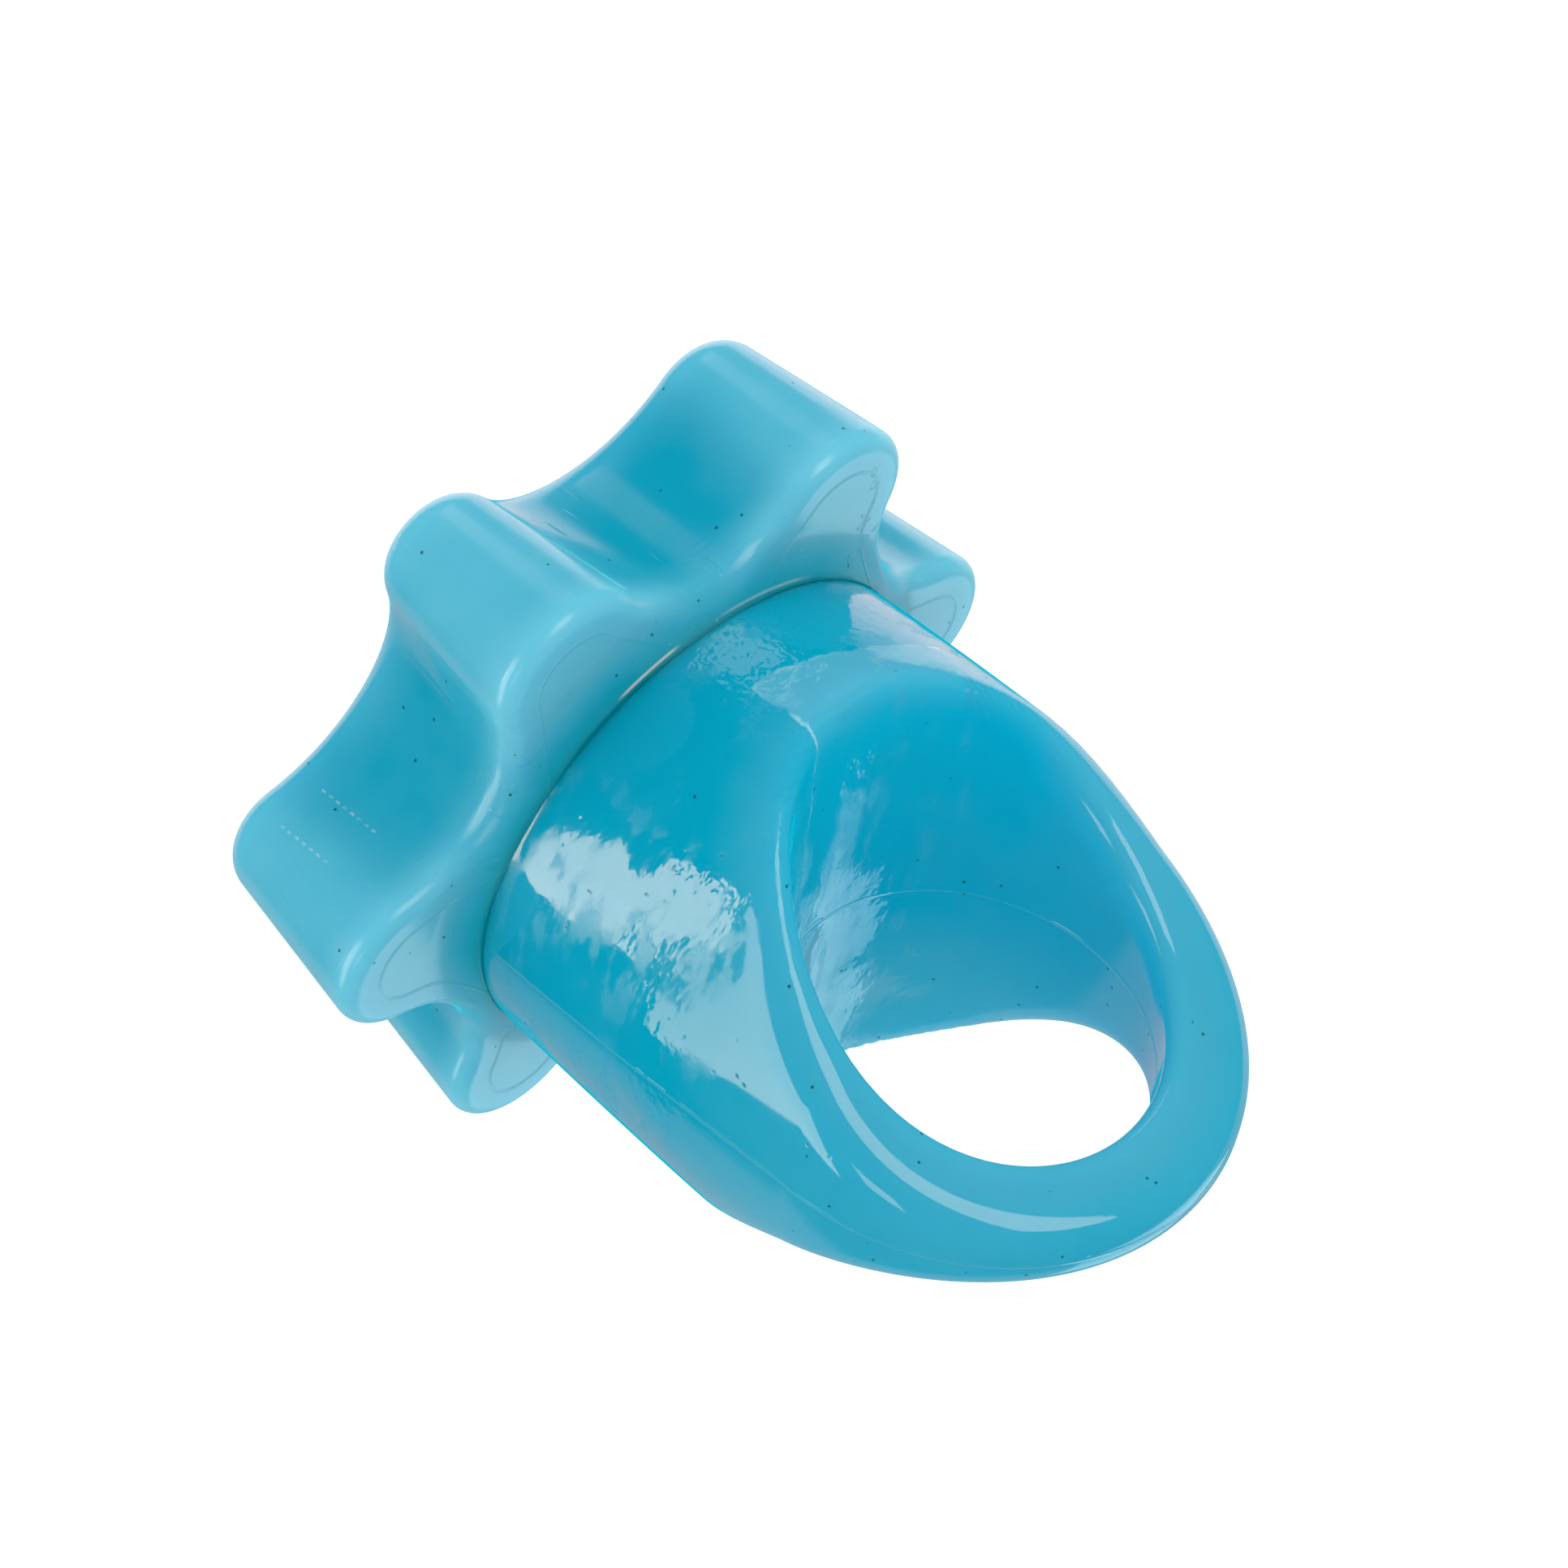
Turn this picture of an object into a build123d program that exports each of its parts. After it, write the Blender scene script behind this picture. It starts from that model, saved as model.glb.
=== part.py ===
"""Soft finger ring with a thick six-lobed star head, in millimetres.

The star lies on its flat front face at z = 0 and the finger ring stands on its back.
The finger goes through along Y. The ring's loop is in the XZ plane.
"""
from build123d import *
import os
from math import acos, cos, degrees, radians, sin, tan

os.makedirs("parts", exist_ok=True)

# --- Star head -------------------------------------------------------------------
LOBES = 6
STAR_RADIUS = 21.5          # centre to lobe tip, at the back face
STAR_THICKNESS = 11.1
LOBE_TIP_RADIUS = 4.6
NOTCH_FLOOR_RADIUS = 15.4   # centre to the bottom of a notch
WALL_DRAFT = 7.4            # degrees, the star narrows towards its front face
FRONT_EDGE_RADIUS = 1.8
BACK_EDGE_RADIUS = 0.5
CREASE_RADIUS = 13.9        # where the ring comes out of the star's back
COLLAR_HEIGHT = 1.2         # the back face rises to meet the ring
COLLAR_FLARE = 1.3          # how far out the rise starts
COLLAR_HOLLOW = 0.25        # how far the rise is hollowed below a straight slope

# --- Finger ring -----------------------------------------------------------------
# The shank is round at the crease. Towards the dome it narrows across the loop's
# outside and swells along the finger, where the scoops then thin it.
DOME_BASE_Z = 31.7
DOME_HALF_WIDTH = 12.9      # along X, and the dome's height above its base
DOME_HALF_DEPTH = 16.0      # along Y, before the scoops
HOLE_HALF_WIDTH = 8.8       # the finger hole is a little oval, at the middle plane
HOLE_HALF_HEIGHT = 9.4
HOLE_Z = 30.9
HOLE_DRAFT = 1.5            # degrees, the hole opens towards both faces
HOLE_REACH = 20.0           # past both faces
SCOOP_RADIUS = 24.1         # the round hollow that thins the ring on each side
SCOOP_Y = 26.2
SCOOP_Z = 45.5
RIM_RADIUS = 0.8
SHORTEST_RIM = 7.5          # shorter edges are only seams between the blank's surfaces
SEAM_MARGIN = 0.2           # a rim's middle may lie this much nearer the middle plane

# --- Joint between the two mouldings ---------------------------------------------
SEAT_DEPTH = 2.2            # the ring's root stands this deep in the star's back
SPIGOT_RADIUS = 7.0
SPIGOT_LENGTH = 4.0
SPIGOT_DRAFT = 3.0
SPIGOT_CHAMFER = 0.8
BOND_GAP = 0.1              # room for the bond at the walls and under the spigot

# --- Worked out ------------------------------------------------------------------
half_pitch = 180 / LOBES
tip_centre = STAR_RADIUS - LOBE_TIP_RADIUS
across = cos(radians(half_pitch)) * tip_centre
# a notch arc that is tangent to the lobe tips on both sides of it
notch_radius = (
    tip_centre**2 + NOTCH_FLOOR_RADIUS**2 - LOBE_TIP_RADIUS**2
    - 2 * across * NOTCH_FLOOR_RADIUS
) / (2 * (LOBE_TIP_RADIUS + across - NOTCH_FLOOR_RADIUS))
notch_centre = NOTCH_FLOOR_RADIUS + notch_radius
tip_half_angle = 180 - degrees(
    acos(
        (tip_centre**2 + (LOBE_TIP_RADIUS + notch_radius) ** 2 - notch_centre**2)
        / (2 * tip_centre * (LOBE_TIP_RADIUS + notch_radius))
    )
)
notch_half_angle = tip_half_angle - half_pitch

crease_z = STAR_THICKNESS + COLLAR_HEIGHT
seat_z = crease_z - SEAT_DEPTH
swell_z = (crease_z + DOME_BASE_Z) / 2
swell_half_width = (CREASE_RADIUS + DOME_HALF_WIDTH) / 2
swell_half_depth = (CREASE_RADIUS + DOME_HALF_DEPTH) / 2
thinnest_half_depth = SCOOP_Y - SCOOP_RADIUS


def polar(radius, angle):
    """A point of the star's outline at a radius and an angle in degrees."""
    return (radius * cos(radians(angle)), radius * sin(radians(angle)))


# --- Star head: a drafted six-lobed prism with a socket in its back ---------------
with BuildPart() as star_head:
    back_plane = Plane(origin=(0, 0, STAR_THICKNESS), x_dir=(1, 0, 0), z_dir=(0, 0, -1))
    with BuildSketch(back_plane):
        with BuildLine():
            for lobe in range(LOBES):
                tip_angle = 2 * half_pitch * lobe
                notch_angle = tip_angle + half_pitch
                CenterArc(
                    polar(tip_centre, tip_angle),
                    LOBE_TIP_RADIUS,
                    tip_angle - tip_half_angle,
                    2 * tip_half_angle,
                )
                CenterArc(
                    polar(notch_centre, notch_angle),
                    notch_radius,
                    notch_angle + 180 - notch_half_angle,
                    2 * notch_half_angle,
                )
        make_face()
    extrude(amount=STAR_THICKNESS, taper=WALL_DRAFT)
    fillet(star_head.edges().group_by(Axis.Z)[0], FRONT_EDGE_RADIUS)
    fillet(star_head.edges().group_by(Axis.Z)[-1], BACK_EDGE_RADIUS)
    # the collar: a hollow curve that rises from the back face to the crease
    with BuildSketch(Plane.XZ):
        with BuildLine():
            foot = (CREASE_RADIUS + COLLAR_FLARE, STAR_THICKNESS)
            under = (CREASE_RADIUS, STAR_THICKNESS - COLLAR_HEIGHT)
            lip = (CREASE_RADIUS, crease_z)
            middle = (
                (foot[0] + lip[0]) / 2 - COLLAR_HOLLOW,
                (foot[1] + lip[1]) / 2 - COLLAR_HOLLOW,
            )
            ThreePointArc(foot, middle, lip)
            Polyline(lip, (0, crease_z), (0, under[1]), under, foot)
        make_face()
    revolve(axis=Axis.Z)
    # socket: a wide seat for the ring's root, and a deeper hole for its spigot
    with BuildSketch(Plane.XY.offset(seat_z)):
        Circle(CREASE_RADIUS)
    extrude(amount=2 * SEAT_DEPTH, mode=Mode.SUBTRACT)
    with BuildSketch(Plane.XY.offset(seat_z)):
        Circle(SPIGOT_RADIUS + BOND_GAP)
    extrude(amount=-(SPIGOT_LENGTH + BOND_GAP), taper=SPIGOT_DRAFT, mode=Mode.SUBTRACT)

# --- Finger ring: a domed shank, scooped on both sides, round the finger hole -----
with BuildPart() as finger_ring:
    with BuildSketch(Plane.XY.offset(crease_z)):
        Circle(CREASE_RADIUS)
    with BuildSketch(Plane.XY.offset(swell_z)):
        Ellipse(swell_half_width, swell_half_depth)
    with BuildSketch(Plane.XY.offset(DOME_BASE_Z)):
        Ellipse(DOME_HALF_WIDTH, DOME_HALF_DEPTH)
    loft()
    # the dome: half an ellipsoid, turned about the finger's axis
    with BuildSketch(Plane.XY.offset(DOME_BASE_Z)):
        Ellipse(DOME_HALF_WIDTH, DOME_HALF_DEPTH)
        with Locations((-DOME_HALF_WIDTH, 0)):
            Rectangle(2 * DOME_HALF_WIDTH, 3 * DOME_HALF_DEPTH, mode=Mode.SUBTRACT)
    revolve(axis=Axis((0, 0, DOME_BASE_Z), (0, -1, 0)), revolution_arc=180)
    with BuildSketch(Plane.YZ):
        with Locations((SCOOP_Y, SCOOP_Z), (-SCOOP_Y, SCOOP_Z)):
            Circle(SCOOP_RADIUS)
    extrude(amount=2 * DOME_HALF_WIDTH, both=True, mode=Mode.SUBTRACT)
    for side in (1, -1):
        for depth, widen in ((0, 0), (side * HOLE_REACH, HOLE_REACH * tan(radians(HOLE_DRAFT)))):
            with BuildSketch(Plane.XZ.offset(depth)):
                with Locations((0, HOLE_Z)):
                    Ellipse(HOLE_HALF_WIDTH + widen, HOLE_HALF_HEIGHT + widen)
        loft(mode=Mode.SUBTRACT)
    # the rims: every long edge that the scoops and the hole leave off the middle plane
    rims = finger_ring.edges().filter_by(
        lambda edge: edge.length > SHORTEST_RIM
        and abs(edge.center().Y) > thinnest_half_depth - SEAM_MARGIN
        and edge.center().Z > HOLE_Z - HOLE_HALF_HEIGHT - RIM_RADIUS
    )
    fillet(rims, RIM_RADIUS)
    # the root and its spigot, hidden in the star's back
    with BuildSketch(Plane.XY.offset(crease_z)):
        Circle(CREASE_RADIUS - BOND_GAP)
    extrude(amount=-SEAT_DEPTH)
    with BuildSketch(Plane.XY.offset(seat_z)):
        Circle(SPIGOT_RADIUS)
    extrude(amount=-SPIGOT_LENGTH, taper=SPIGOT_DRAFT)
    chamfer(finger_ring.edges().group_by(Axis.Z)[0], SPIGOT_CHAMFER)

star_head.part.label = "star_head"
finger_ring.part.label = "finger_ring"
export_step(star_head.part, "parts/star_head.step")
export_step(finger_ring.part, "parts/finger_ring.step")

print(f"notch arc radius {notch_radius:.2f} mm, tip arc {2 * tip_half_angle:.1f} degrees")
for piece in (star_head.part, finger_ring.part):
    size = piece.bounding_box().size
    print(f"{piece.label}: {len(piece.solids())} solid, {piece.volume / 1000:.2f} cm3")
    print(f"  {size.X:.1f} x {size.Y:.1f} x {size.Z:.1f} mm")
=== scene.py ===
# %% [markdown]
# # A soft star-headed finger ring
#
# Two mouldings make this squeeze toy: a thick six-lobed star head, and a domed
# ring that a finger goes through. Both are a translucent blue elastomer. The
# star has the satin skin of a milled mould, and the ring the gloss of a
# polished one. This lesson makes each skin as one numpy surface, gives each its
# own finish, and lights them softly. Lengths are in metres, +Z points from the
# star's flat face up through the ring, and the finger goes through along Y.

from math import radians

import bpy
import numpy as np
from mathutils import Matrix, Vector


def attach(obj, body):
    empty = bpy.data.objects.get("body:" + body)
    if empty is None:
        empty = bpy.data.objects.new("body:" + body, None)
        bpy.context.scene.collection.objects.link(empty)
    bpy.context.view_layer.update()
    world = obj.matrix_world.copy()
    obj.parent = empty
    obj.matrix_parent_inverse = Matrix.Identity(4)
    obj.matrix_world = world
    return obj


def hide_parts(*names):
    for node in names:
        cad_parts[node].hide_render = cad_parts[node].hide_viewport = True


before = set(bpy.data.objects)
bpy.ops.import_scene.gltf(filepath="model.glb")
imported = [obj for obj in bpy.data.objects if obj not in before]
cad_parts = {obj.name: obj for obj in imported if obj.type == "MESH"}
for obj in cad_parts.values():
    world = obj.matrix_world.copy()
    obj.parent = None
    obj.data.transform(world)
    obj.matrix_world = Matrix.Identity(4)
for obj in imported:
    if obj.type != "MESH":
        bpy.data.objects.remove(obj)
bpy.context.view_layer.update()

MM = 0.001
STAR_RADIUS = 21.5 * MM

# %% [markdown]
# ## A mesh from a grid
#
# Every skin here is a grid of points: one direction runs round and closes on
# itself, the other runs along and either closes too (a torus) or ends in a
# single point at each end (a pole). The faces then follow from the grid's
# indices, so one helper serves both pieces.


# %% Grid to mesh
def skin(name, grid, closed_along, layers=None):
    """Makes a smooth mesh object from grid[i, j] = (x, y, z).

    j runs round and wraps. i wraps too if closed_along, and otherwise the first
    and last rows are each one point. Face (i, j) joins rows i, i + 1 and
    columns j, j + 1. layers maps an attribute's name to values[i, j].
    """
    rows, columns = grid.shape[:2]
    index = np.arange(rows * columns).reshape(rows, columns)
    keep = np.ones(rows * columns, bool)
    if not closed_along:
        index[0], index[-1] = index[0, 0], index[-1, 0]
        keep[1:columns] = False
        keep[-columns + 1 :] = False
    place = np.cumsum(keep) - 1
    index = place[index]
    low = index if closed_along else index[:-1]
    high = np.roll(index, -1, 0) if closed_along else index[1:]
    quads = np.stack([low, np.roll(low, -1, 1), np.roll(high, -1, 1), high], 2).reshape(-1, 4)
    three = (quads[:, 0] == quads[:, 1]) | (quads[:, 2] == quads[:, 3])
    corners = quads[three]
    corners = np.where(
        (corners[:, 0] == corners[:, 1])[:, None], corners[:, [0, 2, 3]], corners[:, :3]
    )
    faces = corners.tolist() + quads[~three].tolist()
    mesh = bpy.data.meshes.new(name)
    mesh.from_pydata(grid.reshape(-1, 3)[keep].tolist(), [], faces)
    mesh.polygons.foreach_set("use_smooth", np.ones(len(faces), bool))
    for layer, values in (layers or {}).items():
        made = mesh.attributes.new(layer, "FLOAT", "POINT")
        made.data.foreach_set("value", values.reshape(-1)[keep].astype(np.float32))
    mesh.validate()
    piece = bpy.data.objects.new(name, mesh)
    bpy.context.collection.objects.link(piece)
    triangles = len(corners) + 2 * int((~three).sum())
    print(f"{name}: {len(mesh.vertices)} points, {triangles} triangles")
    return piece


# %% [markdown]
# ## The star's outline
#
# The star's outline is twelve arcs that run smoothly into each other: six small
# round lobe tips, and between them six hollow notches. Only three sizes are
# chosen, the lobe's reach, its tip radius and the notch's floor. The notch arc
# that just touches both neighbouring tips follows from them.

# %% Outline of tangent arcs
LOBES = 6
TIP_RADIUS = 4.6 * MM
NOTCH_FLOOR = 15.4 * MM
TIP_POINTS = 34
NOTCH_POINTS = 30


def star_outline():
    """The outline's points and outward normals, counter-clockwise.

    With D = R - t the tip centre's distance, c = cos 30 and n the floor, the
    notch radius is (D^2 + n^2 - t^2 - 2cDn) / 2(t + cD - n). Two tangent arcs
    meet on the line between their centres, which gives both arcs' half angles.
    """
    half = np.pi / LOBES
    reach = STAR_RADIUS - TIP_RADIUS
    across = np.cos(half) * reach
    notch = (reach**2 + NOTCH_FLOOR**2 - TIP_RADIUS**2 - 2 * across * NOTCH_FLOOR) / (
        2 * (TIP_RADIUS + across - NOTCH_FLOOR)
    )
    centre = NOTCH_FLOOR + notch
    joined = TIP_RADIUS + notch
    tip_half = np.pi - np.arccos((reach**2 + joined**2 - centre**2) / (2 * reach * joined))
    notch_half = tip_half - half
    lobe = 2 * half * np.arange(LOBES)[:, None]
    a = lobe + np.linspace(-tip_half, tip_half, TIP_POINTS)
    b = lobe + half + np.pi + np.linspace(notch_half, -notch_half, NOTCH_POINTS + 2)[1:-1]
    tips = reach * toward(lobe) + TIP_RADIUS * toward(a)
    notches = centre * toward(lobe + half) + notch * toward(b)
    points = np.concatenate([tips, notches], 1).reshape(-1, 2)
    normals = np.concatenate([toward(a), -toward(b)], 1).reshape(-1, 2)
    print(f"notch radius {notch / MM:.2f} mm, {len(points)} points round")
    return points, normals


def toward(angle):
    """Unit vectors (cos angle, sin angle)."""
    return np.stack([np.cos(angle), np.sin(angle)], -1)


outline, outward = star_outline()

# %% [markdown]
# ## The star's skin
#
# The mould for the star was drafted, so the walls lean in towards the flat
# front face. A single profile is carried round the outline: out over the front
# face, round its soft edge, up the wall, over the tighter back edge, in across
# the back face and down into the socket. The profile gives a height and how far
# the outline is drawn inwards there. Past the back edge each point goes straight
# towards the round socket instead, and the face rises in a hollow curve to meet
# the ring.

# %% Star sizes
THICKNESS = 11.1 * MM
DRAFT = radians(7.4)
FRONT_EDGE = 1.9 * MM
BACK_EDGE = 0.90 * MM
CREASE_RADIUS = 13.87 * MM
COLLAR_RISE = 1.2 * MM
COLLAR_FLARE = 2.3 * MM
FACE_ROWS, EDGE_ROWS, WALL_ROWS, BACK_ROWS = 15, 14, 24, 29


# %% Star surface
def edge_arc(radius, lean, start, stop, count):
    """Points (drawn in, height) of a rolled edge, from angle start to stop.

    The arc touches a wall that leans by the draft and a level face. Its centre
    is r below the face (or above it) and r(1 + lean) / cos(draft) inside.
    """
    angle = np.linspace(start, stop, count)
    inside = radius * (1 + lean * np.sin(DRAFT)) / np.cos(DRAFT)
    return inside + radius * np.cos(angle), radius * np.sin(angle)


def collar(radius):
    """The back face's rise above level, h s^1.7, where s goes 0 to 1 towards the crease."""
    s = np.clip((CREASE_RADIUS + COLLAR_FLARE - radius) / COLLAR_FLARE, 0, 1)
    return COLLAR_RISE * s**1.7


def star_grid():
    """The star's closed skin: outline - normal * drawn_in, at the profile's height.

    Also each point's inset, its distance to the nearest point of the outline.
    """
    wall_in = THICKNESS * np.tan(DRAFT)
    front_in, front_z = edge_arc(FRONT_EDGE, -1, 1.5 * np.pi, np.pi + DRAFT, EDGE_ROWS)
    front_in, front_z = wall_in + front_in, FRONT_EDGE + front_z
    back_in, back_z = edge_arc(BACK_EDGE, 1, np.pi + DRAFT, 0.5 * np.pi, EDGE_ROWS)
    back_z = THICKNESS - BACK_EDGE + back_z
    t = np.linspace(0, 1, WALL_ROWS + 2)[1:-1]
    wall = front_in[-1] + (back_in[0] - front_in[-1]) * t
    wall_z = front_z[-1] + (back_z[0] - front_z[-1]) * t
    drawn = np.concatenate([front_in, wall, back_in])
    height = np.concatenate([front_z, wall_z, back_z])
    ring = outline - outward * drawn[:, None, None]
    z = np.broadcast_to(height[:, None], ring.shape[:2])
    # the front face shrinks to its middle, and the back face runs to the crease
    s = np.linspace(0, 1, FACE_ROWS + 1)[:-1, None, None]
    face = ring[0] * s
    last = ring[-1]
    angle = np.arctan2(last[:, 1], last[:, 0])
    u = np.linspace(0, 1, BACK_ROWS + 1)[1:, None, None]
    back = last + (CREASE_RADIUS * toward(angle) - last) * u
    flat = np.concatenate([face, ring, back])
    level = np.concatenate(
        [np.zeros(face.shape[:2]), z, np.full(back.shape[:2], THICKNESS)]
    )
    upper = np.clip((level - THICKNESS + 2 * BACK_EDGE) / (2 * BACK_EDGE), 0, 1)
    level = level + upper * collar(np.linalg.norm(flat, axis=2))
    # the lip turns down into the socket, whose floor closes at the middle
    down = np.array([0.1, 0.3, 1.0, 2.2]) * MM
    inward = np.array([0.02, 0.03, 0.03, 0.03]) * MM
    lip = (CREASE_RADIUS - inward)[:, None, None] * toward(angle)
    lip_z = np.broadcast_to((THICKNESS + COLLAR_RISE - down)[:, None], lip.shape[:2])
    floor = lip[-1] * np.linspace(1, 0, 8)[1:, None, None]
    flat = np.concatenate([flat, lip, floor])
    level = np.concatenate([level, lip_z, np.full(floor.shape[:2], lip_z[-1, 0])])
    gap = np.stack([np.linalg.norm(row[:, None] - outline, axis=2).min(1) for row in flat])
    return np.concatenate([flat, level[..., None]], 2), gap


star_points, star_inset = star_grid()


# %% [markdown]
# ## How thick is the rubber here?
#
# Translucent rubber looks paler where it is thin, because light gets through
# and scatters back out. In the star that is towards the lobe tips and the back
# edge; in the ring it is round the far end of the finger hole. A value at each
# point, 0 where deep and 1 where thin, carries this into the finish, where the
# paleness is painted into the colour: a painted glow that stands in for the
# light coming through.


# %% Star thinness, as a share of painted glow
def smooth(low, high, value):
    """3t^2 - 2t^3 with t = (value - low) / (high - low), held between 0 and 1."""
    t = np.clip((value - low) / (high - low), 0, 1)
    return t * t * (3 - 2 * t)


def star_glow(points):
    """Rises from the notch floor to the lobe tips, and at the two edges."""
    reach = np.linalg.norm(points[..., :2], axis=2)
    lobes = smooth(15.0 * MM, 20.4 * MM, reach)
    back = smooth(8.2 * MM, THICKNESS, points[..., 2]) * smooth(13.9 * MM, 17 * MM, reach)
    front = 0.3 * smooth(4.0 * MM, 0.5 * MM, points[..., 2])
    return 1 - (1 - 0.60 * lobes) * (1 - 0.88 * back) * (1 - front)


star = skin(
    "star_head_skin",
    star_points,
    False,
    {"painted_glow": star_glow(star_points), "inset": star_inset / MM},
)
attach(star, "root")
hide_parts("star_head")

# %% [markdown]
# ## The finger ring
#
# The ring was turned and scooped rather than bent from a bar: a shank that is
# round at the star and swells into a dome, a wide hollow cut into each side, and
# the finger hole through the middle. Rolled edges join the cuts. Such a body is
# easiest to say as one field, a number that is negative inside the rubber: each
# cut takes the larger of two numbers, and a soft maximum rolls the edge. Being
# soft, the ring also leans a little on its star.

# %% Ring sizes, as shares of the star's radius
CREASE_Z = 0.574
ROOT_Z = 0.475
SHANK = 0.645
DOME_X, DOME_Y, SWELL = 0.597, 0.80, 0.061
DOME_Z, DOME_HEIGHT = 1.459, 0.617
HOLE_RADIUS, HOLE_Z, HOLE_SQUEEZE, HOLE_FLARE = 0.441, 1.436, 1.083, 0.017
SCOOP_Y, SCOOP_Z, SCOOP_RADIUS = 1.232, 2.121, 1.138
SCOOP_ROLL, HOLE_ROLL = 0.084, 0.058
LEAN = -0.032
PINCH, PINCH_REACH = 0.002, 0.02


# %% Ring field
def soft_max(a, b, roll):
    """max(a, b) + h^2 roll / 4, with h = max(roll - |a - b|, 0) / roll."""
    h = np.maximum(roll - np.abs(a - b), 0) / roll
    return np.maximum(a, b) + h * h * roll / 4


def ring_field(x, y, z):
    """Negative inside the ring.

    Blank: (sqrt(|x/ax|^2 + |y/ay|^2 + zz^2) - 1) min(ax, ay), with zz the height
    above the dome's base over the dome's height. Scoop: radius minus distance to
    a line along X. Hole: radius minus distance to a line along Y. The skin draws
    in by a bell curve of the height where it meets the star.
    """
    x = x - LEAN * (z - CREASE_Z)
    u = np.clip((DOME_Z - z) / (DOME_Z - CREASE_Z), 0, 1)
    swell = SWELL * u * (1 - u) / 2
    ax = DOME_X + (SHANK - DOME_X) * u + swell
    ay = DOME_Y + (SHANK - DOME_Y) * u + swell
    dome = np.maximum(z - DOME_Z, 0) / DOME_HEIGHT
    blank = (np.sqrt((x / ax) ** 2 + (y / ay) ** 2 + dome**2) - 1) * np.minimum(ax, ay)
    side = np.sqrt(y * y + 1e-4)
    scoop = SCOOP_RADIUS - np.hypot(side - SCOOP_Y, z - SCOOP_Z)
    flare = HOLE_FLARE * side / 0.3 * np.minimum(side / 0.3, 1.5) * 0.7
    hole = HOLE_RADIUS + flare - np.hypot(x * HOLE_SQUEEZE, z - HOLE_Z)
    body = soft_max(soft_max(blank, scoop, SCOOP_ROLL), hole, HOLE_ROLL)
    body = body + PINCH * np.exp(-(((z - CREASE_Z) / PINCH_REACH) ** 2))
    return np.maximum(body, ROOT_Z - z)


# %% [markdown]
# ## From field to skin
#
# The ring is a torus: one angle goes round the finger hole, and at each step a
# second angle goes round the section of rubber there. From the middle of each
# section a ray is sent out at every angle, and halving its length again and
# again finds where the field turns positive. All rays are halved at once.

# %% Ring surface
ROUND_HOLE = 430
ROUND_SECTION = 216
IN_RUBBER = 0.47  # a little more than the hole's radius
LONGEST_RAY = 1.4
CROWDING = 0.12


def cross(start, direction, reach, steps=34):
    """Distance along start + s direction at which the field crosses zero, by halving."""
    low, high = np.zeros(reach.shape), reach.copy()
    for _ in range(steps):
        middle = (low + high) / 2
        x, y, z = np.moveaxis(start + middle[..., None] * direction, -1, 0)
        inside = ring_field(x, y, z) < 0
        low, high = np.where(inside, middle, low), np.where(inside, high, middle)
    return (low + high) / 2


def ring_grid():
    """Points centre + s (cos v * spoke + sin v * Y) for every spoke and section angle v."""
    round_hole = np.linspace(0, 2 * np.pi, ROUND_HOLE, endpoint=False)
    spoke = np.stack([np.cos(round_hole), 0 * round_hole, np.sin(round_hole)], -1)
    hole_middle = np.array([LEAN * (HOLE_Z - CREASE_Z), 0, HOLE_Z])
    # at the middle plane: out from just inside the hole's wall, and in from there
    near = hole_middle + IN_RUBBER * spoke
    out = IN_RUBBER + cross(near, spoke, np.full(ROUND_HOLE, 0.9))
    wall = IN_RUBBER - cross(near, -spoke, np.full(ROUND_HOLE, 0.4))
    middle = hole_middle + ((out + wall) / 2)[:, None] * spoke
    v = np.linspace(0, 2 * np.pi, ROUND_SECTION, endpoint=False)
    # more rays towards the thin outer and inner edges than along the flat sides
    v = v - CROWDING * np.sin(2 * v)
    direction = np.cos(v)[:, None] * spoke[:, None] + np.sin(v)[:, None] * np.array([0, 1, 0])
    to_axis = ((out + wall) / 2)[:, None] / np.maximum(-np.cos(v), 1e-3)
    reach = np.minimum(to_axis, LONGEST_RAY)
    length = cross(middle[:, None], direction, reach)
    return middle[:, None] + length[..., None] * direction, (out - wall)


ring_points, ring_depth = ring_grid()
print("thinnest band", round(float(ring_depth.min()) * STAR_RADIUS / MM, 2), "mm")


# %% Ring wall, and the share of painted glow
def grid_normals(points):
    """Unit cross product of the central differences along both closed directions."""
    along = np.roll(points, -1, 0) - np.roll(points, 1, 0)
    round_ = np.roll(points, -1, 1) - np.roll(points, 1, 1)
    normal = np.cross(round_, along)
    return normal / np.linalg.norm(normal, axis=2, keepdims=True)


def softened(values, passes=3):
    """Each value mixed with its grid neighbours, half itself and a quarter each, both ways."""
    for _ in range(passes):
        for axis in (0, 1):
            beside = np.roll(values, 1, axis) + np.roll(values, -1, axis)
            values = values / 2 + beside / 4
    return values


def ring_layers(points, depth):
    """Where the ring is hole wall, and where it gets a painted glow.

    A point is on the wall where its normal points at the hole's axis, m near 1.
    The painted glow is a paler colour standing in for light that comes through
    the rubber and in at the far mouth. It lies on the rim just outside the wall,
    the shallow band at the far end, towards the far end, and the wall towards the
    hole's far mouth.
    """
    x, y, z = np.moveaxis(points, -1, 0)
    x = x - LEAN * (z - CREASE_Z)
    to_axis = np.stack([-x, 0 * y, HOLE_Z - z], -1)
    reach = np.linalg.norm(to_axis, axis=2)
    m = np.abs((grid_normals(points) * to_axis).sum(2)) / reach
    close = smooth(0.60, 0.52, reach * (1 + 0.04 * np.abs(y)))
    wall = softened(smooth(0.86, 0.93, m) * close)
    rim = (1 - wall) * smooth(0.66, 0.48, reach)
    band = smooth(0.36, 0.18, depth)[:, None] * np.ones(points.shape[1])
    far = smooth(1.3, 2.0, z)
    mouth = wall * smooth(-0.05, 0.42, y) * (1 - far)
    glow_mix = np.clip(0.42 * rim + 0.14 * band + 0.14 * far + 0.50 * mouth, 0, 1)
    return {"painted_glow": glow_mix, "wall": wall}


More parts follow.
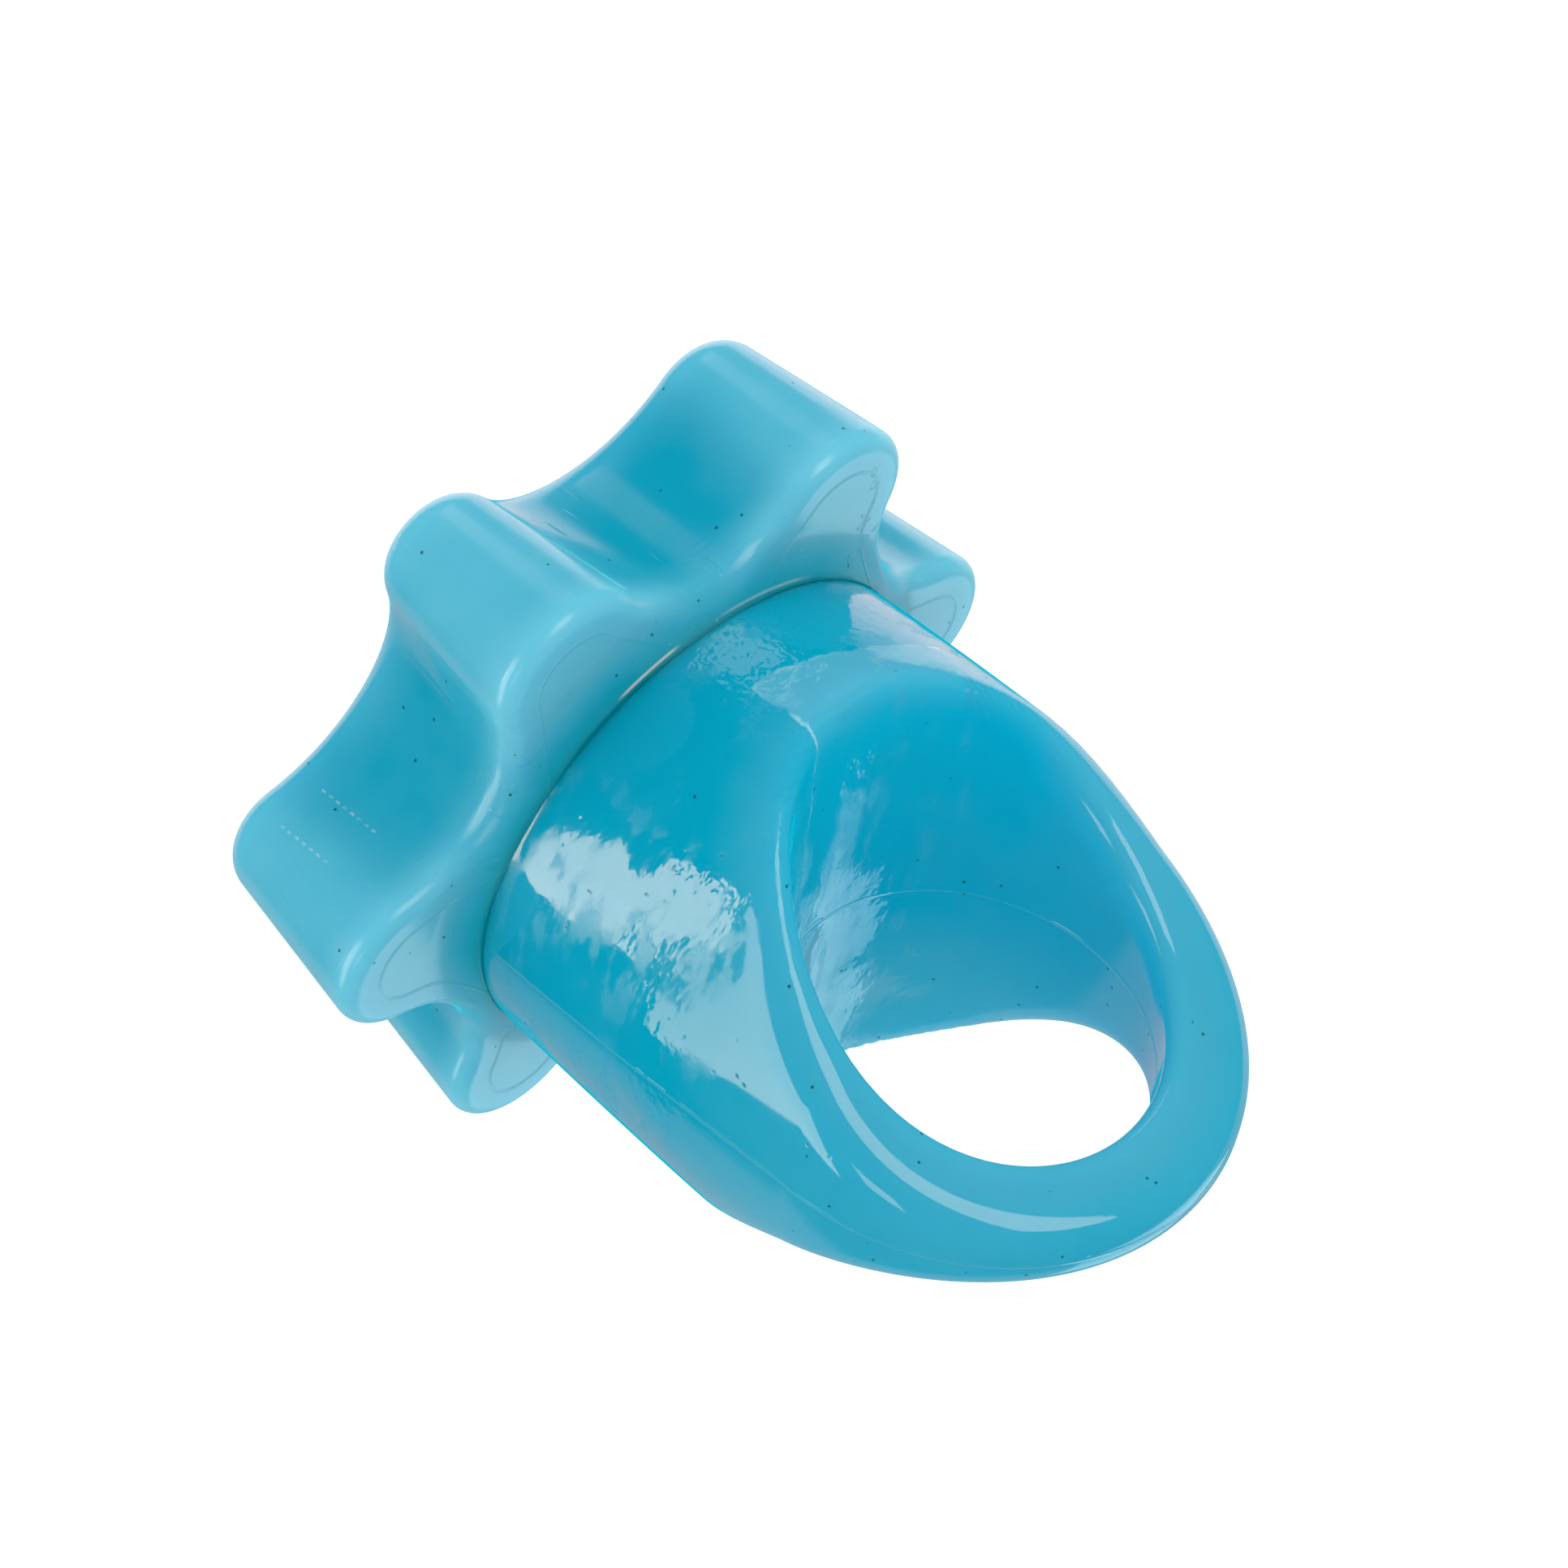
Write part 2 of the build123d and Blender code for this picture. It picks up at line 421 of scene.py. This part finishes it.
ring = skin(
    "finger_ring_skin",
    ring_points * STAR_RADIUS,
    True,
    ring_layers(ring_points, ring_depth),
)
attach(ring, "root")
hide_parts("finger_ring")


# %% Do the faces point outwards?
def enclosed(piece):
    """The volume inside a closed mesh, sum of a . (b x c) / 6: positive if faces point out."""
    mesh = piece.data
    mesh.calc_loop_triangles()
    corner = np.empty(len(mesh.loop_triangles) * 3, int)
    mesh.loop_triangles.foreach_get("vertices", corner)
    place = np.empty(len(mesh.vertices) * 3)
    mesh.vertices.foreach_get("co", place)
    a, b, c = place.reshape(-1, 3)[corner.reshape(-1, 3)].transpose(1, 0, 2)
    return float((a * np.cross(b, c)).sum() / 6)


for piece in (star, ring):
    print(piece.name, f"encloses {enclosed(piece) * 1e6:.2f} cm3")


# %% [markdown]
# ## Translucent elastomer
#
# The rubber is a soft blue gel with light scattering inside it, so the finish
# scatters light under the skin over a few millimetres. Blue goes furthest and
# red hardly at all, which is why the deep parts are so saturated and the thin
# ones paler. The finish also paints that paleness into the colour, mixing a deep
# blue and a paler painted glow by the thinness of the piece, and a slow
# cloudiness keeps it from looking like paint.


# %% Node helpers
def finish_tree(name):
    """A new material using nodes, with its default Principled shader and output."""
    material = bpy.data.materials.new(name)
    material.use_nodes = True
    return material, material.node_tree, material.node_tree.nodes["Principled BSDF"]


def add(tree, kind, links=None, **settings):
    """Adds a node, sets its properties, and fills its inputs from values or other sockets."""
    node = tree.nodes.new(kind)
    for key, value in settings.items():
        setattr(node, key, value)
    for key, value in (links or {}).items():
        if isinstance(value, bpy.types.NodeSocket):
            tree.links.new(value, node.inputs[key])
        else:
            node.inputs[key].default_value = value
    return node


def maths(tree, operation, *values):
    """One Math node's result, from numbers or sockets."""
    node = add(tree, "ShaderNodeMath", dict(enumerate(values)), operation=operation)
    return node.outputs[0]


def fade(tree, value, low, high, start=0.0, stop=1.0):
    """A smooth step of value from low to high, giving start to stop."""
    node = add(
        tree,
        "ShaderNodeMapRange",
        {0: value, 1: low, 2: high, 3: start, 4: stop},
        interpolation_type="SMOOTHSTEP",
    )
    return node.outputs[0]


def noise(tree, place, scale, detail=2.0, roughness=0.5, stretch=(1, 1, 1), turn=(0, 0, 0)):
    """Noise at so many features a metre, stretched and turned by a Mapping node."""
    mapped = add(
        tree, "ShaderNodeMapping", {"Vector": place, "Scale": stretch, "Rotation": turn}
    )
    node = add(
        tree,
        "ShaderNodeTexNoise",
        {"Vector": mapped.outputs[0], "Scale": scale, "Detail": detail, "Roughness": roughness},
    )
    return node.outputs[0]


def mix_colour(tree, share, first, second):
    """first + share * (second - first), for colours."""
    node = add(
        tree, "ShaderNodeMix", {"Factor": share, 6: first, 7: second}, data_type="RGBA"
    )
    return node.outputs[2]


def linear(red, green, blue):
    """A screen colour, 0 to 255 a channel, as the linear colour that shaders use."""
    c = np.array([red, green, blue]) / 255
    low = c <= 0.04045
    return (*np.where(low, c / 12.92, ((c + 0.055) / 1.055) ** 2.4).tolist(), 1.0)


# %% Colour of the gel
DEEP = linear(0, 161, 190)
WALL_GLOW = linear(0, 181, 213)
# the next two pale blues are a painted glow, standing in for light that comes through thin rubber
RING_GLOW = linear(92, 180, 203)
STAR_GLOW = linear(116, 196, 215)
FLASH = linear(104, 182, 205)
SPECK = linear(20, 60, 78)


def gel_colour(tree, place, glow_blue):
    """Deep blue to a paler painted glow, standing in for light through thin rubber, by the glow
    share and cloudiness, with a few dark specks of dust.
    """
    lit_share = add(tree, "ShaderNodeAttribute", attribute_name="painted_glow").outputs["Fac"]
    cloud = noise(tree, place, 130, 3, 0.55)
    share = maths(tree, "MULTIPLY_ADD", cloud, 0.5, -0.25)
    share = maths(tree, "MULTIPLY_ADD", lit_share, 0.9, share)
    share = maths(tree, "MINIMUM", maths(tree, "MAXIMUM", share, 0.0), 1.0)
    # painted glow: the hole's wall is lit through the rubber, so it is coloured a lighter blue
    wall = add(tree, "ShaderNodeAttribute", attribute_name="wall").outputs["Fac"]
    deep = mix_colour(tree, wall, DEEP, WALL_GLOW)
    # painted glow: a paler blue mixed in where light would come through the rubber
    blue = mix_colour(tree, share, deep, glow_blue)
    dots = add(
        tree, "ShaderNodeTexVoronoi", {"Vector": place, "Scale": 900.0, "Randomness": 1.0}
    )
    rare = add(tree, "ShaderNodeSeparateColor", {0: dots.outputs["Color"]})
    dot = fade(tree, dots.outputs["Distance"], 0.10, 0.05)
    dot = maths(tree, "MULTIPLY", dot, fade(tree, rare.outputs[0], 0.60, 0.65))
    return mix_colour(tree, maths(tree, "MULTIPLY", dot, 0.8), blue, SPECK)


# %% Relief
def relief(tree, shader, height, depth):
    """Tilts the shading by the slope of height times depth, without moving the surface."""
    links = {"Strength": 1.0, "Distance": depth, "Height": height}
    bump = add(tree, "ShaderNodeBump", links)
    tree.links.new(bump.outputs[0], shader.inputs["Normal"])


# %% Gel body
SCATTER_SHARE = 0.75
SCATTER_REACH = (0.25, 0.85, 1.0)
SCATTER_SCALE = 3.0 * MM
REFRACTION = 1.42


def gel_body(shader):
    """Sets how much light scatters under the skin, how far each colour goes, and the index."""
    shader.inputs["Subsurface Weight"].default_value = SCATTER_SHARE
    shader.inputs["Subsurface Radius"].default_value = SCATTER_REACH
    shader.inputs["Subsurface Scale"].default_value = SCATTER_SCALE
    shader.inputs["IOR"].default_value = REFRACTION


# %% Quiet edges
def quiet_edges(tree, shader):
    """Lets the gloss die away where the skin turns edge-on: level 0.5 down to 0.

    A soft box straight behind the toy would otherwise draw a white outline
    round every rolled edge.
    """
    facing = add(tree, "ShaderNodeLayerWeight", {"Blend": 0.5}).outputs["Facing"]
    level = fade(tree, facing, 0.76, 0.90, 0.5, 0.0)
    tree.links.new(level, shader.inputs["Specular IOR Level"])


# %% [markdown]
# ## The star's satin skin
#
# The star's mould was milled, and the rubber took every cutter mark: hair-fine
# parallel lines that break a highlight into streaks. The walls carry them along
# the height, and the edge at the back is the roughest. A few handling scratches
# cross the lobes as rows of dashes.


# %% Handling marks, and a painted glint
EDGE_WHITE = linear(190, 222, 232)
DASH_STEP = 0.52 * MM
LIP_GLINT_RADIUS = 14.12 * MM


def scratch_row(tree, place, xyz, x, low, high):
    """A row of dashes up a lobe's -Y wall at one x: |x - x0| small, and sin(z) positive."""
    off = maths(tree, "ABSOLUTE", maths(tree, "SUBTRACT", xyz[0], x))
    dash = maths(tree, "SINE", maths(tree, "MULTIPLY", xyz[2], 2 * np.pi / DASH_STEP))
    row = fade(tree, off, 0.09 * MM, 0.02 * MM)
    row = maths(tree, "MULTIPLY", row, fade(tree, dash, -0.6, 0.4))
    middle, half = (low + high) / 2, (high - low) / 2
    off = maths(tree, "ABSOLUTE", maths(tree, "SUBTRACT", xyz[2], middle))
    row = maths(tree, "MULTIPLY", row, fade(tree, off, half, half - 0.3 * MM))
    row = maths(tree, "MULTIPLY", row, fade(tree, xyz[1], -1.0 * MM, -1.5 * MM))
    return maths(tree, "MULTIPLY", row, fade(tree, noise(tree, place, 1400, 1), 0.36, 0.58))


def collar_glint(tree, xyz):
    """A painted highlight: a hair-fine bright line on the collar's lip, at one radius, on two
    stretches of x.
    """
    flat = add(tree, "ShaderNodeCombineXYZ", {0: xyz[0], 1: xyz[1]}).outputs[0]
    radius = add(tree, "ShaderNodeVectorMath", {0: flat}, operation="LENGTH").outputs["Value"]
    off = maths(tree, "ABSOLUTE", maths(tree, "SUBTRACT", radius, LIP_GLINT_RADIUS))
    line = fade(tree, off, 0.08 * MM, 0.02 * MM)
    line = maths(tree, "MULTIPLY", line, fade(tree, xyz[1], 0, -MM))
    line = maths(tree, "MULTIPLY", line, fade(tree, xyz[2], 11.3 * MM, 11.6 * MM))
    first = maths(tree, "ABSOLUTE", maths(tree, "SUBTRACT", xyz[0], 4.7 * MM))
    second = maths(tree, "ABSOLUTE", maths(tree, "ADD", xyz[0], 2.6 * MM))
    stretch = maths(
        tree,
        "ADD",
        fade(tree, first, 2.0 * MM, 1.2 * MM, 0.0, 1.0),
        fade(tree, second, 3.6 * MM, 1.8 * MM, 0.0, 0.35),
    )
    return maths(tree, "MULTIPLY", line, stretch)


# %% Star finish
STAR_RELIEF = 0.03 * MM
WITNESS_INSET = 2.1  # in millimetres, as the inset attribute is


def star_finish():
    """Satin gel: roughness and bump from fine lines across the height, plus orange peel."""
    material, tree, shader = finish_tree("star_elastomer_satin")
    place = add(tree, "ShaderNodeTexCoord").outputs["Object"]
    xyz = add(tree, "ShaderNodeSeparateXYZ", {0: place}).outputs
    rows = maths(
        tree,
        "MAXIMUM",
        scratch_row(tree, place, xyz, 16.1 * MM, 2.3 * MM, 6.9 * MM),
        scratch_row(tree, place, xyz, 18.6 * MM, 2.5 * MM, 6.2 * MM),
    )
    colour = gel_colour(tree, place, STAR_GLOW)
    colour = mix_colour(tree, maths(tree, "MULTIPLY", rows, 0.4), colour, EDGE_WHITE)
    # painted highlight: the collar's glint is mixed into the colour as a bright line
    colour = mix_colour(tree, collar_glint(tree, xyz), colour, EDGE_WHITE)
    tree.links.new(colour, shader.inputs["Base Color"])
    near_back = fade(tree, xyz[2], 6.0 * MM, 10.0 * MM, 0.15, 1.0)
    marks = noise(tree, place, 2600, 2, 0.6, (0.10, 0.10, 1))
    marks = maths(tree, "MULTIPLY", marks, near_back)
    peel = noise(tree, place, 420, 2, 0.5)
    patchy = noise(tree, place, 210, 2)
    rough = maths(tree, "MULTIPLY_ADD", patchy, 0.16, 0.10)
    rough = maths(tree, "MULTIPLY_ADD", marks, 0.14, rough)
    tree.links.new(rough, shader.inputs["Roughness"])
    # a fine witness line runs round each lobe's back, this far inside its edge
    inset = add(tree, "ShaderNodeAttribute", attribute_name="inset").outputs["Fac"]
    off_line = maths(tree, "ABSOLUTE", maths(tree, "SUBTRACT", inset, WITNESS_INSET))
    witness = maths(tree, "MULTIPLY", fade(tree, off_line, 0.14, 0.0), near_back)
    height = maths(tree, "MULTIPLY_ADD", marks, 0.5, maths(tree, "MULTIPLY", peel, 0.35))
    height = maths(tree, "MULTIPLY_ADD", witness, 0.9, height)
    scratch = noise(tree, place, 1500, 0, 0.5, (1, 1, 0.06), (0.5, 0.35, 0))
    scratch = fade(tree, scratch, 0.70, 0.76)
    sparse = fade(tree, noise(tree, place, 140, 0), 0.56, 0.66)
    scratch = maths(tree, "MULTIPLY", scratch, sparse)
    height = maths(tree, "MULTIPLY_ADD", scratch, 1.2, height)
    height = maths(tree, "MULTIPLY_ADD", rows, 1.5, height)
    relief(tree, shader, height, STAR_RELIEF)
    gel_body(shader)
    quiet_edges(tree, shader)
    return material


star.data.materials.append(star_finish())


# %% [markdown]
# ## The ring's gloss
#
# The ring's mould was polished by hand, so the skin is glossy but not true: its
# slow waves pull a window's reflection into a ragged patch. Where the two mould
# halves met, a fine witness line runs round the outside and through the hole.


# %% Flash patch
FILM_BOTTOM, FILM_RIGHT, FILM_LEFT = 16.8 * MM, 2.3 * MM, -8.2 * MM
FILM_RISE = 0.30
FILM_CORNER = 1.4 * MM
TEAR = 1.3 * MM


def flash_patch(tree, place):
    """A film over the shank on the -Y side, and its torn edge.

    d is the distance inside three straight edges, the least of z - falling line,
    right - x and x - left, torn by noise. The film is where d > 0, off the hole's
    wall, and fades upwards into the rim; the edge is where |d| is small.
    """
    xyz = add(tree, "ShaderNodeSeparateXYZ", {0: place}).outputs
    rise = maths(tree, "MULTIPLY", xyz[0], FILM_RISE)
    above = maths(tree, "ADD", maths(tree, "SUBTRACT", xyz[2], FILM_BOTTOM), rise)
    from_right = maths(tree, "SUBTRACT", FILM_RIGHT, xyz[0])
    from_left = maths(tree, "SUBTRACT", xyz[0], FILM_LEFT)
    inside = maths(tree, "SMOOTH_MIN", above, from_right, FILM_CORNER)
    inside = maths(tree, "SMOOTH_MIN", inside, from_left, FILM_CORNER)
    torn = maths(tree, "MULTIPLY_ADD", noise(tree, place, 480, 4, 0.65), TEAR, -TEAR / 2)
    inside = maths(tree, "ADD", inside, torn)
    near = fade(tree, xyz[1], -8.0 * MM, -10.0 * MM)
    film = maths(tree, "MULTIPLY", fade(tree, inside, 0.0, 0.12 * MM), near)
    film = maths(tree, "MULTIPLY", film, fade(tree, xyz[2], 23.0 * MM, 19.5 * MM))
    wall = add(tree, "ShaderNodeAttribute", attribute_name="wall").outputs["Fac"]
    film = maths(tree, "MULTIPLY", film, maths(tree, "SUBTRACT", 1.0, wall))
    edge = fade(tree, maths(tree, "ABSOLUTE", inside), 0.14 * MM, 0.02 * MM)
    broken = fade(tree, noise(tree, place, 300, 2), 0.44, 0.60)
    edge = maths(tree, "MULTIPLY", maths(tree, "MULTIPLY", edge, near), broken)
    edge = maths(tree, "MULTIPLY", edge, fade(tree, xyz[2], 22.0 * MM, 20.5 * MM))
    return film, edge


# %% Ring finish
RING_RELIEF = 0.22 * MM


def ring_finish():
    """Glossy gel: slow waves and rubbed strokes, a witness line at y = 0, and the film."""
    material, tree, shader = finish_tree("ring_elastomer_gloss")
    place = add(tree, "ShaderNodeTexCoord").outputs["Object"]
    colour = gel_colour(tree, place, RING_GLOW)
    film, film_edge = flash_patch(tree, place)
    colour = mix_colour(tree, maths(tree, "MULTIPLY", film, 0.55), colour, FLASH)
    colour = mix_colour(tree, maths(tree, "MULTIPLY", film_edge, 0.5), colour, EDGE_WHITE)
    tree.links.new(colour, shader.inputs["Base Color"])
    xyz = add(tree, "ShaderNodeSeparateXYZ", {0: place}).outputs
    waves = noise(tree, place, 330, 4, 0.58, (1, 0.55, 0.8))
    strokes = noise(tree, place, 900, 3, 0.6, (1, 0.18, 1), (0.35, 0, 0))
    waves = maths(tree, "MULTIPLY_ADD", strokes, 0.12, waves)
    where = fade(tree, noise(tree, place, 110, 1), 0.40, 0.62, 0.15, 1.0)
    shank = fade(tree, xyz[2], 29.0 * MM, 22.0 * MM, 0.08, 1.0)
    waves = maths(tree, "MULTIPLY", waves, maths(tree, "MULTIPLY", where, shank))
    pits = add(tree, "ShaderNodeTexVoronoi", {"Vector": place, "Scale": 900.0})
    pit = fade(tree, pits.outputs["Distance"], 0.16, 0.02)
    rubbed = fade(tree, strokes, 0.46, 0.62)
    rubbed = maths(tree, "MULTIPLY", rubbed, fade(tree, noise(tree, place, 260, 2), 0.35, 0.6))
    rubbed = maths(tree, "MULTIPLY", rubbed, shank)
    rough = maths(tree, "MULTIPLY_ADD", rubbed, 0.26, 0.06)
    tree.links.new(rough, shader.inputs["Roughness"])
    line = fade(tree, maths(tree, "ABSOLUTE", xyz[1]), 0.16 * MM, 0.02 * MM)
    height = maths(tree, "MULTIPLY_ADD", pit, -0.03, waves)
    height = maths(tree, "MULTIPLY_ADD", line, 0.08, height)
    height = maths(tree, "MULTIPLY_ADD", film, 0.10, height)
    height = maths(tree, "MULTIPLY_ADD", film_edge, 0.15, height)
    relief(tree, shader, height, RING_RELIEF)
    gel_body(shader)
    quiet_edges(tree, shader)
    return material


ring.data.materials.append(ring_finish())

# %% [markdown]
# ## Floor and light
#
# The toy stands on a plain white table. Blue rubber is only this saturated when
# the gloss has little to mirror, and a white table would fill it with haze. So
# the light is staged: the table lights the toy softly, but the gloss doesn't
# see it and it takes no shadow. It shines by itself, so that it stays white.


# %% Floor
def flat_floor():
    """A plain square floor just under the star's front face."""
    half, below = 3.0, -0.02 * MM
    corners = [(-half, -half), (half, -half), (half, half), (-half, half)]
    mesh = bpy.data.meshes.new("floor")
    mesh.from_pydata([(x, y, below) for x, y in corners], [], [(0, 1, 2, 3)])
    floor = bpy.data.objects.new("floor", mesh)
    bpy.context.collection.objects.link(floor)
    material, tree, shader = finish_tree("white_table")
    shader.inputs["Base Color"].default_value = (0.18, 0.18, 0.18, 1)
    shader.inputs["Roughness"].default_value = 0.9
    shader.inputs["Specular IOR Level"].default_value = 0.0
    shader.inputs["Emission Color"].default_value = (1, 1, 1, 1)
    shader.inputs["Emission Strength"].default_value = 0.96
    mesh.materials.append(material)
    floor.visible_glossy = False
    floor.visible_shadow = False


flat_floor()


# %% [markdown]
# ## Camera
#
# The camera looks down on the ring from the finger hole's side with a long
# lens, and is rolled so that the star is at the upper left.

# %% Camera
CAMERA_AZIMUTH = radians(33.82)
CAMERA_ELEVATION = radians(23.74)
CAMERA_ROLL = radians(131.81)
CAMERA_DISTANCE = 241.47 * MM
CAMERA_AIM = np.array([-1.80, -4.05, 16.12]) * MM
CAMERA_LENS = 113.97


def away(azimuth, elevation):
    """The direction (sin a cos e, -cos a cos e, sin e): azimuth 0 is towards -Y."""
    a, e = azimuth, elevation
    return np.array([np.sin(a) * np.cos(e), -np.cos(a) * np.cos(e), np.sin(e)])


def place_camera():
    """Looks back along the view direction, rolled about it."""
    back = away(CAMERA_AZIMUTH, CAMERA_ELEVATION)
    level = np.array([np.cos(CAMERA_AZIMUTH), np.sin(CAMERA_AZIMUTH), 0])
    upright = np.cross(back, level)
    right = np.cos(CAMERA_ROLL) * level + np.sin(CAMERA_ROLL) * upright
    up = np.cross(back, right)
    spot = CAMERA_AIM + CAMERA_DISTANCE * back
    data = bpy.data.cameras.new("camera")
    data.lens = CAMERA_LENS
    data.sensor_width = 36
    data.clip_start = 0.01
    camera = bpy.data.objects.new("camera", data)
    bpy.context.collection.objects.link(camera)
    rows = np.column_stack([right, up, back, spot]).tolist()
    camera.matrix_world = Matrix(rows + [[0, 0, 0, 1]])
    bpy.context.scene.camera = camera
    print("camera at", (spot / MM).round(1).tolist(), "mm")


place_camera()


# %% [markdown]
# ## A tent for the soft light, and another for the gloss
#
# In a real light tent one white cloth does both jobs. Here they are told apart
# by the kind of ray: soft light comes evenly from all round, and the gloss sees
# a dark room that is bright only behind the toy. This isn't how light behaves,
# but it lets the softness and the reflections be set one at a time.

# %% Light tent
TENT = 1.02
GLOSS_DARK = 0.03
GLOSS_TABLE = 0.45
GLOSS_TENT = 1.6
PINK = (1.0, 0.80, 0.80, 1)


def light_tent():
    """Even white for soft light; what the gloss mirrors is white only behind the toy.

    With b the direction behind the toy, u the tent's bright end and d a mirrored
    ray's, the gloss sees dark + step(d.b) * (table + step(d.u) * tent). The eye
    sees plain white.
    """
    world = bpy.data.worlds.new("tent")
    world.use_nodes = True
    world.cycles.sampling_method = "NONE"
    bpy.context.scene.world = world
    tree = world.node_tree
    ground = tree.nodes["Background"]
    direction = add(tree, "ShaderNodeTexCoord").outputs["Generated"]

    def along(azimuth, elevation):
        axis = tuple(away(radians(azimuth), radians(elevation)))
        node = add(tree, "ShaderNodeVectorMath", {0: direction, 1: axis}, operation="DOT_PRODUCT")
        return node.outputs["Value"]

    bright = fade(tree, along(-36, -38), -0.2, 0.6, GLOSS_TABLE, GLOSS_TENT)
    gloss = maths(tree, "MULTIPLY", fade(tree, along(214, -20), 0.46, 0.56), bright)
    gloss = maths(tree, "ADD", gloss, GLOSS_DARK)
    path = add(tree, "ShaderNodeLightPath")
    strength = add(
        tree, "ShaderNodeMix", {0: path.outputs["Is Glossy Ray"], 2: TENT, 3: gloss}
    ).outputs[0]
    strength = maths(tree, "MAXIMUM", strength, path.outputs["Is Camera Ray"])
    tint = mix_colour(tree, path.outputs["Is Glossy Ray"], (1, 1, 1, 1), PINK)
    tree.links.new(tint, ground.inputs["Color"])
    tree.links.new(strength, ground.inputs["Strength"])


light_tent()


# %% [markdown]
# ## Soft boxes
#
# Two wide boxes low on the +X side are the windows that the shank mirrors. The
# smaller ones draw the thin lines on the rolled edges and the pale areas on the
# star's back and in the hole. They are only mirrored. One large box does the
# opposite: it lights the -Y side softly and is never mirrored.

# %% Soft boxes
RING_MIDDLE = np.array([0, 0, 20 * MM])
BOX_DISTANCE = 0.5
GLOSS_TINT = (1.0, 0.83, 0.68)


def soft_box(name, azimuth, elevation, wide, high, radiance, tint=GLOSS_TINT):
    """A flat light of so many degrees wide and high, aimed at the ring.

    Its sides are 2 d tan(angle / 2) at distance d, and a one-sided light of
    area A shines with radiance L when its power is pi A L. It is only mirrored,
    and lights nothing softly.
    """
    data = bpy.data.lights.new(name, "AREA")
    data.shape = "RECTANGLE"
    data.size = 2 * BOX_DISTANCE * np.tan(radians(wide) / 2)
    data.size_y = 2 * BOX_DISTANCE * np.tan(radians(high) / 2)
    data.energy = np.pi * data.size * data.size_y * radiance
    data.color = tint
    light = bpy.data.objects.new(name, data)
    bpy.context.collection.objects.link(light)
    direction = away(radians(azimuth), radians(elevation))
    light.location = RING_MIDDLE + BOX_DISTANCE * direction
    light.rotation_mode = "QUATERNION"
    light.rotation_quaternion = Vector(direction).to_track_quat("Z", "Y")
    light.visible_camera = False
    light.visible_diffuse = False
    light.visible_transmission = False
    return light


soft_box("window_low", 88, -23.5, 36, 8.5, 10.0)
soft_box("window_high", 95, -7, 58, 20, 5.4)
soft_box("key_box", -2, 36, 24, 34, 5.5)
soft_box("side_box", 86, 30, 14, 12, 5.0)
soft_box("back_box", -150, 27, 38, 22, 1.5, (0.62, 0.92, 1.0))
soft_box("low_box", -30, -44, 22, 9, 1.8)
soft_key = soft_box("soft_key", 2, -8, 60, 60, 0.32, (1, 1, 1))
soft_key.visible_diffuse, soft_key.visible_glossy = True, False

# %% Show colours as they are
bpy.context.scene.view_settings.view_transform = "Standard"
